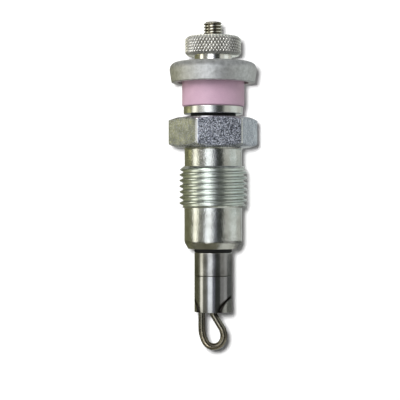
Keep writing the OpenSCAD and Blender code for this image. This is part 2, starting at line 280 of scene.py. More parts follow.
# Angles round the hexagon: its flats in even steps, and its corner bevels in two
def hex_angles():
    half = HEX_SIDE / 2
    mid = (half + HEX_BEVEL) / 2
    flat = [HEX_BEVEL * (2 * i / FLAT_COLUMNS - 1) for i in range(FLAT_COLUMNS + 1)]
    steps = [-half, -mid, *flat, mid]
    angles = [HEX_FRONT + side * HEX_SIDE + step for side in range(HEX_SIDES) for step in steps]
    return angles + [angles[0] + TURN]


# Angle from the middle of the nearest flat
def hex_off(angle):
    return (angle - HEX_FRONT + HEX_SIDE / 2) % HEX_SIDE - HEX_SIDE / 2


def hex_radius(angle):
    return min(HEX_APOTHEM / math.cos(hex_off(angle)), HEX_CORNER_R)


# Rows of the hexagon up one side: chamfers with eased edges, and a flat with a slight grain
def hex_points(angle):
    r = hex_radius(angle)
    rise = (r - HEX_FACE_R) * math.tan(HEX_CHAMFER)
    ease_r = HEX_EDGE * math.cos(HEX_CHAMFER)
    ease_z = HEX_EDGE * math.sin(HEX_CHAMFER)
    lower = [
        (HEX_FACE_R - HEX_EDGE, 0), (HEX_FACE_R + HEX_LIP_OUT, HEX_LIP_UP),
        (r - ease_r, rise - ease_z), (r - ease_r * HEX_EASE_OUT, rise + ease_z * HEX_EASE_UP),
    ]
    height = HEX_TOP - HEX_Z
    span = height - 2 * (rise + HEX_EDGE)
    flat = []
    for i in range(HEX_ROWS + 1):
        z = rise + HEX_EDGE + span * i / HEX_ROWS
        place = Vector(round_axis(r, angle, z)) * FLAT_GRAIN_SCALE
        fade = min(1, FLAT_FADE * i / HEX_ROWS, FLAT_FADE * (HEX_ROWS - i) / HEX_ROWS)
        flat.append((r - FLAT_GRAIN * fade * (1 + noise.noise(place)) / 2, z))
    upper = [(row_r, height - z) for row_r, z in reversed(lower)]
    return [(row_r, HEX_Z + z) for row_r, z in lower + flat + upper]


def body_mesh():
    below = rounded([
        (BODY_BORE_R, 0, 0), (NOSE_R, 0, NOSE_ROUNDING), (SHANK_R, CONE_H, CONE_ROUNDING),
        (SHANK_R, THREAD_Z, 0)])
    fillet = rounded([(NECK_R, THREAD_TOP, 0), (NECK_R, HEX_Z, NECK_FILLET), (HEX_FACE_R, HEX_Z, 0)])
    columns = []
    for angle in hex_angles():
        rows = [(p.real, p.imag) for p in below]
        rows += thread_points(
            angle, THREAD_Z, THREAD_TOP, THREAD_R, THREAD_DEPTH, THREAD_PITCH, THREAD_PHASE)
        rows += [(p.real, p.imag) for p in fillet[:-1]]
        rows += hex_points(angle)
        rows += [(BODY_BORE_R, HEX_TOP)]
        columns.append([round_axis(r, angle, z) for r, z in rows])
    mesh = skin("threaded_body", columns)
    mark_grooves(mesh, THREAD_Z, THREAD_TOP, THREAD_R, THREAD_DEPTH)
    return mesh


# Places of the thread, the flats and the corners in the body's list of finishes, after the turned one
BODY_THREAD = 1
BODY_HEXAGON = 2
BODY_CORNER = 3


# Turned end, thread and grained hexagon each have their own finish, and the hexagon's corners are smooth
def mark_body(mesh):
    for face in mesh.polygons:
        z = face.center.z / MM
        r = Vector(face.center[:2]).length / MM
        on_flat = abs(hex_off(math.atan2(face.center.y, face.center.x))) < HEX_BEVEL
        if z > HEX_Z - HEX_EDGE:
            face.material_index = BODY_HEXAGON if on_flat or r < HEX_APOTHEM else BODY_CORNER
        elif THREAD_Z < z < THREAD_TOP and r > SHANK_R:
            face.material_index = BODY_THREAD


def stud_mesh():
    columns = []
    for i in range(STUD_COLUMNS + 1):
        angle = TURN * i / STUD_COLUMNS
        rows = [
            (0, PIN_Z), (PIN_R, PIN_Z), (PIN_R, FOOT_Z), (FOOT_R, FOOT_Z), (FOOT_R, FOOT_TOP),
            (STUD_R, FOOT_TOP), (STUD_R, STUD_THREAD_Z)]
        rows += thread_points(angle, STUD_THREAD_Z, STUD_TOP, STUD_R, STUD_DEPTH, STUD_PITCH, STUD_PHASE)
        rows += [(0, STUD_TOP)]
        columns.append([round_axis(r, angle, z) for r, z in rows])
    mesh = skin("threaded_stud", columns)
    mark_grooves(mesh, STUD_THREAD_Z, STUD_TOP, STUD_R, STUD_DEPTH)
    return mesh


# Depth of the knurl at a place, from two crossing sets of grooves with flat lands between them
def knurl_drop(around, up):
    nearest = 1
    for sign in (1, -1):
        phase = (around + sign * up) / 2 % 1
        nearest = min(nearest, 2 * min(phase, 1 - phase))
    return KNURL_DEPTH * max(0, 1 - nearest / (1 - KNURL_LAND))


# The grooves run corner to corner over the grid, so each square is cut along its deeper corners
def nut_mesh():
    low = COLLAR_TOP + KNURL_CHAMFER
    high = NUT_TOP - KNURL_CHAMFER
    steps = KNURL_ROWS * KNURL_SAMPLES
    around = 2 * KNURL_COUNT * KNURL_SAMPLES
    face_r = KNURL_R - KNURL_CHAMFER
    columns = []
    for i in range(around + 1):
        angle = TURN * i / around
        rows = [
            (NUT_BORE_R, CAP_TOP + NUT_COUNTERSINK), (NUT_BORE_R + NUT_COUNTERSINK, CAP_TOP),
            (COLLAR_R - COLLAR_EDGE, CAP_TOP), (COLLAR_R, CAP_TOP + COLLAR_EDGE), (COLLAR_R, COLLAR_TOP),
            (face_r - HEAD_EDGE_IN, COLLAR_TOP), (face_r + HEAD_EDGE_OUT, COLLAR_TOP + HEAD_EDGE_UP)]
        for j in range(steps + 1):
            drop = knurl_drop(i / KNURL_SAMPLES, j / KNURL_SAMPLES)
            rows.append((KNURL_R - drop, low + (high - low) * j / steps))
        rows += [
            (face_r + HEAD_EDGE_OUT, NUT_TOP - HEAD_EDGE_UP), (face_r - HEAD_EDGE_IN, NUT_TOP),
            (NUT_BORE_R + NUT_COUNTERSINK, NUT_TOP), (NUT_BORE_R, NUT_TOP - NUT_COUNTERSINK)]
        columns.append([round_axis(r, angle, z) for r, z in rows])
    mesh = skin("knurled_nut", columns)
    build = bmesh.new()
    build.from_mesh(mesh)
    for face in list(build.faces):
        corners = face.verts[:]
        if len(corners) == 4:
            depth = [Vector(v.co[:2]).length for v in corners]
            one = 0 if depth[0] + depth[2] < depth[1] + depth[3] else 1
            bmesh.utils.face_split(face, corners[one], corners[one + 2])
    build.to_mesh(mesh)
    build.free()
    mark_grooves(mesh, low, high, KNURL_R, KNURL_DEPTH)
    return mesh


# Sleeve with a half-round cross slot: its columns follow the slot's arch at both walls
def tip_mesh():
    def wall_angle(r, arch):
        return math.asin(SLOT_R * math.sin(arch) / r)

    outer_end = wall_angle(POLE_R, TURN / 4)
    inner_end = wall_angle(SOCKET_R, TURN / 4)
    half = []
    for i in range(SLOT_COLUMNS + 1):
        arch = TURN / 4 * (2 * i / SLOT_COLUMNS - 1)
        arch_z = TIP_Z + SLOT_R * math.cos(arch)
        half.append((wall_angle(POLE_R, arch), wall_angle(SOCKET_R, arch), arch_z))
    for i in range(1, WALL_COLUMNS):
        share = i / WALL_COLUMNS
        outer = outer_end + share * (TURN / 2 - 2 * outer_end)
        inner = inner_end + share * (TURN / 2 - 2 * inner_end)
        half.append((outer, inner, TIP_Z))
    sides = [(a + KEY_TURN + turn, b + KEY_TURN + turn, z) for turn in (0, TURN / 2) for a, b, z in half]
    sides.append((sides[0][0] + TURN, sides[0][1] + TURN, sides[0][2]))
    columns = []
    for outer, inner, z in sides:
        columns.append([
            round_axis(SOCKET_R, inner, z),
            round_axis(POLE_R - TIP_EDGE, outer, z),
            round_axis(POLE_R - TIP_EASE, outer, z + TIP_EASE),
            round_axis(POLE_R, outer, z + TIP_EDGE),
            round_axis(POLE_R, outer, JOINT_Z - TIP_EDGE),
            round_axis(POLE_R - TIP_EASE, outer, JOINT_Z - TIP_EASE),
            round_axis(POLE_R - TIP_EDGE, outer, JOINT_Z),
            round_axis(SPIGOT_BORE_R, inner, JOINT_Z),
            round_axis(SPIGOT_BORE_R, inner, WEB_Z),
            round_axis(SOCKET_R, inner, WEB_Z)])
    return skin("tip_sleeve", columns)


# Place of the joint's painted shade in the sleeve's list of finishes
SLEEVE_SHADE_INSIDE = 1


# The sleeve's faces inside, in the joint round the ceramic, get a near-black finish: painted shade
def mark_sleeve_shade(mesh):
    for face in mesh.polygons:
        if Vector(face.center[:2]).length / MM < GLAZE_R:
            face.material_index = SLEEVE_SHADE_INSIDE


# Rings along the bent wire. A state is x, z and heading, which turns from down towards +X
def loop_states():
    def side(heading):
        return complex(math.cos(heading), math.sin(heading))

    def arc(state, r, turn):
        steps = math.ceil(abs(turn) / WIRE_STEP)
        place, heading = state
        sign = math.copysign(1, turn)
        headings = [heading + turn * i / steps for i in range(steps + 1)]
        return [(place + sign * r * (side(heading) - side(onward)), onward) for onward in headings]

    half = TURN / 2
    return_turn = half + LEG_LEAN - SIDE_TURN - BOTTOM_TURN
    side_bend = arc((complex(-LEG_OFFSET, 0), 0), SIDE_R, SIDE_TURN)
    bottom_bend = arc(side_bend[-1], BOTTOM_R, BOTTOM_TURN)
    return_bend = arc(bottom_bend[-1], RETURN_R, return_turn)
    entry_bend = arc(return_bend[-1], ENTRY_R, -LEG_LEAN)
    lean = entry_bend[-1][0].real / math.sin(LEG_LEAN)
    lean_move = lean * complex(-math.sin(LEG_LEAN), math.cos(LEG_LEAN))
    entry_bend = [(place + lean_move, heading) for place, heading in entry_bend]
    drop = TIP_Z - entry_bend[-1][0].imag
    states = side_bend + bottom_bend[1:] + return_bend[1:] + entry_bend
    states = [(place + 1j * drop, heading) for place, heading in states]
    leg_run = states[0][0].imag - LEG_TOP
    leg = [(complex(-LEG_OFFSET, LEG_TOP + leg_run * i / LEG_RINGS), 0) for i in range(LEG_RINGS)]
    return leg + states + [(complex(0, PIN_Z), half)]


def wire_mesh():
    columns = []
    states = loop_states()
    for place, heading in states:
        ring = []
        for i in range(WIRE_SIDES):
            a = TURN * i / WIRE_SIDES
            flat = WIRE_R * math.cos(a)
            out = Vector((flat * math.cos(heading), -WIRE_R * math.sin(a), flat * math.sin(heading)))
            point = Vector((place.real, 0, place.imag)) + out
            shrink = WIRE_UNEVEN * (1 + noise.noise(point * WIRE_UNEVEN_SCALE)) / 2
            ring.append(point - out.normalized() * shrink)
        columns.append(ring)
    first = Vector((states[0][0].real, 0, states[0][0].imag))
    last = Vector((states[-1][0].real, 0, states[-1][0].imag))
    return skin("heater_wire", [[first] * WIRE_SIDES] + columns + [[last] * WIRE_SIDES])


# Short calls that build one material's nodes
class Finish:
    def __init__(self, name):
        self.material = bpy.data.materials.new(name)
        self.material.use_nodes = True
        self.tree = self.material.node_tree
        self.shader = self.tree.nodes["Principled BSDF"]
        where = self.node("TexCoord")
        self.place = self.scaled(where.outputs["Object"], (1 / MM, 1 / MM, 1 / MM))

    def link(self, source, socket):
        self.tree.links.new(source, socket)

    def node(self, kind, operation=None):
        node = self.tree.nodes.new(f"ShaderNode{kind}")
        if operation is not None:
            node.operation = operation
        return node

    def scaled(self, vector, factors):
        node = self.node("VectorMath", "MULTIPLY")
        self.link(vector, node.inputs[0])
        node.inputs[1].default_value = factors
        return node.outputs["Vector"]

    def grain(self, scale, detail=3.0, stretch=(1, 1, 1)):
        node = self.node("TexNoise")
        node.inputs["Scale"].default_value = scale
        node.inputs["Detail"].default_value = detail
        self.link(self.scaled(self.place, stretch), node.inputs["Vector"])
        return node.outputs["Fac"]

    def attribute(self, name):
        node = self.node("Attribute")
        node.attribute_name = name
        return node.outputs["Fac"]

    def length(self, vector):
        node = self.node("VectorMath", "LENGTH")
        self.link(vector, node.inputs[0])
        return node.outputs["Value"]

    # Distance from the bar that the tip's cross slot is cut round
    def from_slot(self):
        across = self.node("VectorMath", "DOT_PRODUCT")
        self.link(self.place, across.inputs[0])
        across.inputs[1].default_value = (-math.sin(KEY_TURN), math.cos(KEY_TURN), 0)
        above = self.node("Math", "SUBTRACT")
        self.link(self.height(), above.inputs[0])
        above.inputs[1].default_value = TIP_Z
        place = self.node("CombineXYZ")
        self.link(across.outputs["Value"], place.inputs["X"])
        self.link(above.outputs["Value"], place.inputs["Z"])
        return self.length(place.outputs["Vector"])

    def from_axis(self):
        return self.length(self.scaled(self.place, (1, 1, 0)))

    def height(self):
        node = self.node("SeparateXYZ")
        self.link(self.place, node.inputs["Vector"])
        return node.outputs["Z"]

    # Value that goes over one span, taken onto another
    def spread(self, value, span, onto):
        node = self.node("MapRange")
        self.link(value, node.inputs["Value"])
        for end, number in zip(("From Min", "From Max", "To Min", "To Max"), (*span, *onto)):
            node.inputs[end].default_value = number
        return node.outputs["Result"]

    def sum(self, one, two):
        node = self.node("Math", "ADD")
        self.link(one, node.inputs[0])
        self.link(two, node.inputs[1])
        return node.outputs["Value"]

    # Tones at their places along a value, from none to one
    def tones(self, value, places, colours):
        node = self.node("ValToRGB")
        ramp = node.color_ramp
        for place in places[1:-1]:
            ramp.elements.new(place)
        for element, place, colour in zip(ramp.elements, places, colours):
            element.position = place
            element.color = (*colour, 1)
        self.link(value, node.inputs["Fac"])
        return node.outputs["Color"]

    def colour(self, source):
        self.link(source, self.shader.inputs["Base Color"])

    def rough(self, source):
        self.link(source, self.shader.inputs["Roughness"])

    # Relief from height fields, each with its depth in millimetres, one over the other
    def relief(self, *fields):
        normal = None
        for value, depth in fields:
            node = self.node("Bump")
            node.inputs["Strength"].default_value = 1
            node.inputs["Distance"].default_value = depth * MM
            self.link(value, node.inputs["Height"])
            if normal is not None:
                self.link(normal, node.inputs["Normal"])
            normal = node.outputs["Normal"]
        self.link(normal, self.shader.inputs["Normal"])

    def metal(self):
        self.shader.inputs["Metallic"].default_value = 1


# Noises that finishes share, each with its scale, detail and stretch, and the spans that noises go over
PATCHES = (0.35, 4.0)
LATHE_MARKS = (9.0, 4.0, (0.02, 0.02, 1))
LATHE_MARK_DEPTH = 0.0015
PATCH_SPAN = (0.32, 0.68)
NOISE_SPAN = (0.3, 0.7)
SUM_SPAN = (0.7, 1.3)
SHARE = (0, 1)


# Turned or plated metal: two tones in soft patches, lathe marks round the axis and a fine grain
def turned_metal(name, dark, light, rough, pits=0.002, pit_scale=4.0):
    finish = Finish(name)
    patches = finish.grain(*PATCHES)
    marks = finish.grain(*LATHE_MARKS)
    fine = finish.grain(pit_scale)
    finish.colour(finish.tones(patches, PATCH_SPAN, (dark, light)))
    finish.rough(finish.spread(finish.sum(patches, marks), SUM_SPAN, rough))
    finish.relief((marks, LATHE_MARK_DEPTH), (fine, pits))
    finish.metal()
    return finish.material


# Grainy plating: flat ground with raised grains
GRAIN_PATCHES = (0.5, 4.0)
GRAINS = (4.2, 2.0)
GRAIN_TONE_SPAN = (0.8, 1.2)
GRAIN_TOPS = (0.49, 0.73)
GRAIN_ROUGH = (0.18, 0.3)
GRAIN_DEPTH = 0.045


def grainy_metal(name, dark, light):
    finish = Finish(name)
    patches = finish.grain(*GRAIN_PATCHES)
    grains = finish.grain(*GRAINS)
    raised = finish.spread(grains, GRAIN_TOPS, SHARE)
    shade = finish.spread(finish.sum(patches, grains), GRAIN_TONE_SPAN, SHARE)
    finish.colour(finish.tones(shade, SHARE, (dark, light)))
    finish.rough(finish.spread(grains, NOISE_SPAN, GRAIN_ROUGH))
    finish.relief((raised, GRAIN_DEPTH))
    finish.metal()
    return finish.material


# Turned metal with painted shade: darkened where a distance is just past a joint's edge, standing in for the
# shade along the joint
JOINT_SHADE_COLOUR = (0.05, 0.047, 0.04)
JOINT_SHADE_DROP = -0.85
JOINT_SHADE_PLACES = (0, 0.6, 1)


def joint_shaded_metal(name, distance, edge, reach, dark, light, rough):
    finish = Finish(name)
    patches = finish.grain(*PATCHES)
    marks = finish.grain(*LATHE_MARKS)
    joint_shade_band = finish.spread(distance(finish), (edge, edge + reach), (JOINT_SHADE_DROP, 0))
    shade = finish.sum(finish.spread(patches, PATCH_SPAN, JOINT_SHADE_PLACES[1:]), joint_shade_band)
    finish.colour(finish.tones(shade, JOINT_SHADE_PLACES, (JOINT_SHADE_COLOUR, dark, light)))
    finish.rough(finish.spread(finish.sum(patches, marks), SUM_SPAN, rough))
    finish.relief((marks, LATHE_MARK_DEPTH))
    finish.metal()
    return finish.material


# Grooved metal, with a tone for the crests, the flanks and the roots, and roughness for crests and roots.
# These tones are painted light and shade in the grooves
GROOVE_PATCHES = (0.8, 4.0)
GROOVE_FINE = (5.0, 3.0)
GROOVE_DRIFT = (-0.2, 0.2)
GROOVE_SHADE_PLACES = (0.1, 0.45, 0.85)
GROOVE_ROUGH_SPAN = (0.1, 0.8)
GROOVE_FINE_DEPTH = 0.004


def groove_shaded_metal(name, crest, flank, root, rough):
    finish = Finish(name)
    patches = finish.grain(*GROOVE_PATCHES)
    fine = finish.grain(*GROOVE_FINE)
    depth = finish.sum(finish.attribute("groove"), finish.spread(patches, NOISE_SPAN, GROOVE_DRIFT))
    finish.colour(finish.tones(depth, GROOVE_SHADE_PLACES, (crest, flank, root)))
    finish.rough(finish.spread(depth, GROOVE_ROUGH_SPAN, rough))
    finish.relief((fine, GROOVE_FINE_DEPTH))
    finish.metal()
    return finish.material


# Matt cast alloy with a soft mottle
MOTTLE = (1.1, 5.0)
MOTTLE_DEPTH = 0.09
CAST_FINE = (6.0, 4.0)
CAST_FINE_DEPTH = 0.014


def cast_alloy(name, dark, light, rough):
    finish = Finish(name)
    mottle = finish.grain(*MOTTLE)
    fine = finish.grain(*CAST_FINE)
    finish.colour(finish.tones(mottle, NOISE_SPAN, (dark, light)))
    finish.rough(finish.spread(finish.sum(mottle, fine), SUM_SPAN, rough))
    finish.relief((mottle, MOTTLE_DEPTH), (fine, CAST_FINE_DEPTH))
    finish.metal()
    return finish.material


# Fired or pressed insulation with a fine speckle
SPECK_DETAIL = 4.0
SPECK_DEPTH = 0.01
SPECK_SPAN = (0.6, 1.4)
SPECK_TONES = (0.2, 0.8)
CLOUDS = (0.3, 2.0)
FIRED_SPECULAR = 0.35


def fired(name, dark, light, rough, speck_scale=5.0):
    finish = Finish(name)
    speck = finish.grain(speck_scale, SPECK_DETAIL)
    cloud = finish.grain(*CLOUDS)
    shade = finish.spread(finish.sum(speck, cloud), SPECK_SPAN, SHARE)
    finish.colour(finish.tones(shade, SPECK_TONES, (dark, light)))
    finish.rough(finish.spread(speck, NOISE_SPAN, rough))
    finish.relief((speck, SPECK_DEPTH))
    finish.shader.inputs["Specular IOR Level"].default_value = FIRED_SPECULAR
    return finish.material


# Ceramic of the tip: a grey glaze outside, with painted shade in the joint round it: near black inside the
# slot, and darker just past the joint's edge
JOINT_SHADE_BLACK = (0.012, 0.01, 0.008)
GLAZE_GREY = (0.55, 0.55, 0.51)
GLAZE_TONES = (0, 0.9)
GLAZE_CLOUDS = (0.9, 3.0)
GLAZE_DRIFT = (-0.2, 0)
GLAZE_ROUGH = (0.16, 0.26)
GLAZE_DEPTH = 0.004
GLAZE_SPECULAR = 0.05


def glazed_tip(name):
    finish = Finish(name)
    cloud = finish.grain(*GLAZE_CLOUDS)
    outside = finish.spread(finish.from_axis(), (GLAZE_R, POLE_R), SHARE)
    joint_shade_band = finish.spread(finish.from_slot(), (KEY_R - SLOT_SHADE_REACH, KEY_R), (0, -1))
    shade = finish.sum(finish.sum(outside, joint_shade_band), finish.spread(cloud, NOISE_SPAN, GLAZE_DRIFT))
    finish.colour(finish.tones(shade, GLAZE_TONES, (JOINT_SHADE_BLACK, GLAZE_GREY)))
    finish.rough(finish.spread(cloud, NOISE_SPAN, GLAZE_ROUGH))
    finish.link(outside, finish.shader.inputs["Metallic"])
    finish.shader.inputs["Specular IOR Level"].default_value = GLAZE_SPECULAR
    finish.relief((cloud, GLAZE_DEPTH))
    return finish.material


# Heater wire: oxide scale, browner where it runs hottest
OXIDE_SCALE = (2.5, 5.0)
OXIDE_DEPTH = 0.01
OXIDE_ROUGH = (0.2, 0.32)
OXIDE_DRIFT = (0.5, 3.0)
OXIDE_HEIGHTS = (-27.0, -14.0)
HEAT_SPAN = (0.3, 1.6)
HEAT_TONES = (0, 0.45, 1)


def oxidised_wire(name, cool, warm, hot):
    finish = Finish(name)
    scale = finish.grain(*OXIDE_SCALE)
    drift = finish.grain(*OXIDE_DRIFT)
    heat = finish.spread(finish.height(), OXIDE_HEIGHTS, (1, 0))
    tint = finish.spread(finish.sum(heat, drift), HEAT_SPAN, SHARE)
    finish.colour(finish.tones(tint, HEAT_TONES, (cool, warm, hot)))
    finish.rough(finish.spread(scale, NOISE_SPAN, OXIDE_ROUGH))
    finish.relief((scale, OXIDE_DEPTH))
    finish.metal()
    return finish.material


# The finishes
body_turned = turned_metal(
    "body_turned", dark=(0.5, 0.5, 0.465), light=(0.68, 0.69, 0.665), rough=(0.12, 0.22),
    pits=0.05, pit_scale=2.4)
body_hexagon = grainy_metal("body_hexagon", dark=(0.27, 0.285, 0.345), light=(0.56, 0.58, 0.65))
body_corner = turned_metal(
    "body_corner", dark=(0.58, 0.58, 0.57), light=(0.68, 0.68, 0.67), rough=(0.12, 0.2))
ring_plated = turned_metal(
    "ring_plated", dark=(0.6, 0.6, 0.57), light=(0.7, 0.7, 0.68), rough=(0.18, 0.26))
# The tube and the sleeve carry painted shade just past their joints
tube_dark = joint_shaded_metal(
    "tube_dark", Finish.height, edge=JOINT_Z, reach=JOINT_SHADE_REACH,
    dark=(0.33, 0.324, 0.31), light=(0.5, 0.497, 0.49), rough=(0.18, 0.26))
sleeve_bright = joint_shaded_metal(
    "sleeve_bright", Finish.from_slot, edge=SLOT_R, reach=SLOT_SHADE_REACH,
    dark=(0.39, 0.39, 0.385), light=(0.49, 0.49, 0.495), rough=(0.14, 0.2))
# Thread: the darker flanks are painted shade, and the lighter roots painted light
body_thread = groove_shaded_metal(
    "body_thread", crest=(0.64, 0.67, 0.64), flank=(0.5, 0.53, 0.5), root=(0.75, 0.78, 0.74),
    rough=(0.23, 0.29))
# Stud and knurled nut: the darker flanks and roots are painted shade in the grooves
stud_plated = groove_shaded_metal(
    "stud_plated", crest=(0.8, 0.78, 0.7), flank=(0.28, 0.265, 0.21), root=(0.22, 0.2, 0.155),
    rough=(0.1, 0.24))
nut_plated = groove_shaded_metal(
    "nut_plated", crest=(0.8, 0.79, 0.75), flank=(0.55, 0.54, 0.51), root=(0.32, 0.31, 0.29),
    rough=(0.15, 0.48))
cap_alloy = cast_alloy(
    "cap_alloy", dark=(0.45, 0.455, 0.455), light=(0.68, 0.685, 0.69), rough=(0.5, 0.62))
bush_ceramic = fired(
    "bush_ceramic", dark=(0.6, 0.385, 0.505), light=(0.68, 0.445, 0.57), rough=(0.42, 0.55))
black_fibre = fired(
    "black_fibre", dark=(0.008, 0.008, 0.008), light=(0.02, 0.02, 0.019), rough=(0.6, 0.8))
mica = fired(
    "mica", dark=(0.45, 0.38, 0.28), light=(0.6, 0.52, 0.4), rough=(0.4, 0.6), speck_scale=2.0)
tip_ceramic = glazed_tip("tip_ceramic")
# Near-black finish for the faces inside the joint: painted shade
joint_shade_inside = fired(
    "joint_shade_inside", dark=JOINT_SHADE_BLACK, light=(0.03, 0.026, 0.02), rough=(0.5, 0.7))
wire_oxide = oxidised_wire(
    "wire_oxide", cool=(0.22, 0.21, 0.18), warm=(0.2, 0.19, 0.155), hot=(0.27, 0.23, 0.165))

# The pieces
body = add_piece(
    body_mesh(), "plug", "plug_body", "plated_body", body_turned, body_thread, body_hexagon, body_corner)
mark_body(body.data)
add_piece(lathe("nose_ring", [
    (WASHER_BORE_R, SHOULDER_Z, 0), (POLE_R, SHOULDER_Z, NOSE_RING_ROUNDING),
    (POLE_R, 0, NOSE_RING_ROUNDING), (WASHER_BORE_R, 0, 0)]),
    "plug", "lower_insulating_ring", "black_insulation", black_fibre)
add_piece(lathe("hexagon_washer", [
    (WASHER_BORE_R, HEX_TOP, 0), (WASHER_R, HEX_TOP, WASHER_ROUNDING),
    (WASHER_R, WASHER_TOP, WASHER_ROUNDING), (WASHER_BORE_R, WASHER_TOP, 0)]),
    "plug", "upper_insulating_washer", "black_insulation", black_fibre)
add_piece(lathe("pole_tube", [
    (POLE_BORE_R, SPIGOT_Z, 0), (POLE_NECK_R, SPIGOT_Z, 0), (POLE_NECK_R, JOINT_Z, 0),
    (POLE_R, JOINT_Z, JOINT_GROOVE), (POLE_R, SHOULDER_Z, TUBE_ROUNDING), (POLE_NECK_R, SHOULDER_Z, 0),
    (POLE_NECK_R, RING_TOP, 0), (POLE_BORE_R, RING_TOP, 0)]),
    "plug", "outer_pole_tube", "dark_pole_steel", tube_dark)
sleeve = add_piece(tip_mesh(), "plug", "outer_pole_tip", "bright_pole_steel", sleeve_bright, joint_shade_inside)
mark_sleeve_shade(sleeve.data)
add_piece(lathe("ring_nut", [
    (WASHER_BORE_R, WASHER_TOP, 0), (RING_R, WASHER_TOP, RING_CHAMFER), (RING_R, RING_TOP, RING_CHAMFER),
    (WASHER_BORE_R, RING_TOP, 0)]),
    "plug", "outer_pole_ring", "plated_ring", ring_plated)
wire = add_piece(wire_mesh(), "plug", "heater_loop", "heater_wire", wire_oxide)
add_piece(stud_mesh(), "plug", "centre_pole", "plated_stud", stud_plated)
add_piece(lathe("ceramic_bush", [
    (BUSH_HOLLOW_R, RING_TOP, 0), (BUSH_R, RING_TOP, BUSH_ROUNDING), (BUSH_R, BUSH_TOP, BUSH_ROUNDING),
    (STUD_HOLE_R, BUSH_TOP, 0), (STUD_HOLE_R, BUSH_TOP - BUSH_ROOF, 0),
    (BUSH_HOLLOW_R, BUSH_TOP - BUSH_ROOF, 0)]),
    "plug", "insulating_bush", "bush_ceramic", bush_ceramic)
cap = add_piece(lathe("cap", [
    (CAP_HOLLOW_R, CAP_Z, CAP_HOLLOW_ROUNDING), (CAP_RIM_R, CAP_Z, CAP_RIM_ROUNDING),
    (CAP_CORNER_R, CAP_TOP, CAP_ROUNDING), (STUD_HOLE_R, CAP_TOP, 0), (STUD_HOLE_R, BUSH_TOP, 0),
    (CAP_HOLLOW_R, BUSH_TOP, 0)]),
    "plug", "terminal_cap", "cap_alloy", cap_alloy)
nut = add_piece(nut_mesh(), "nut", "thumb_nut", "plated_nut", nut_plated)

# Pieces that stay as the frame has them, with a finish of their own
KEPT = {
    "tip_insulator": tip_ceramic,
    "body_insulating_sleeve": mica,
    "centre_insulating_sleeve": mica,
    "centre_insulating_washer": mica,
    "centre_lock_nut": stud_plated,
}
for name, material in KEPT.items():
    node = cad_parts[name]
    for place in node.material_slots:
        place.material = material

# Camera at the photograph's place and angle
LENS = 118
SENSOR = 36
CAMERA_NEAR = 0.01
CAMERA_PLACE = (-0.00352, -0.35, 0.01298)
camera_data = bpy.data.cameras.new("camera")
camera_data.lens = LENS
camera_data.sensor_width = SENSOR
camera_data.clip_start = CAMERA_NEAR
camera = bpy.data.objects.new("camera", camera_data)
camera.location = CAMERA_PLACE
camera.rotation_euler = (TURN / 4, 0, 0)
scene.collection.objects.link(camera)
scene.camera = camera

# Studio cards round the object, level with it, above it and below it: turn from the camera towards the
# right, half width and soft edge in degrees, and glow
BELT = (
    (-140, 42, 8, (0.2, 0.2, 0.115)),
    (-103, 6, 8, (0.25, 0.25, 0.16)),
    (-76.5, 6, 10, (1.75, 1.72, 1.48)),
    (-54, 18, 8, (0.27, 0.27, 0.24)),
    (-19, 10, 10, (1.6, 1.67, 1.74)),
    (-2, 6, 10, (0.36, 0.38, 0.44)),
    (92, 44, 14, (0.6, 0.61, 0.57)),
    (88, 12, 16, (0.9, 0.95, 0.92)),
    (150, 24, 20, (0.4, 0.42, 0.42)),
    (-172, 8, 6, (0.4, 0.4, 0.35)),
    (170, 8, 8, (0.65, 0.69, 0.65)),
)
UPPER = (
    (-90, 60, 30, (0.42, 0.42, 0.4)),
    (-168, 12, 8, (1.2, 1.2, 1.08)),
    (164, 12, 8, (0.65, 0.69, 0.65)),
    (60, 70, 30, (0.36, 0.37, 0.38)),
)
LOWER = (
    (-70, 100, 20, (0.17, 0.165, 0.12)),
    (-168, 12, 8, (0.4, 0.4, 0.35)),
    (164, 12, 8, (0.65, 0.69, 0.65)),
    (88, 34, 30, (0.62, 0.63, 0.58)),
)
DARK = (0.045, 0.05, 0.047)
BELT_EDGE = 22.0
BELT_END = 40.0
TENT_R = 0.6
TENT_COLUMNS = 180
TENT_ROWS = (-85, -70, -58, -48, -40, -34, -28, -22, -11, 0, 11, 22, 28, 34, 40, 48, 58, 70, 82)

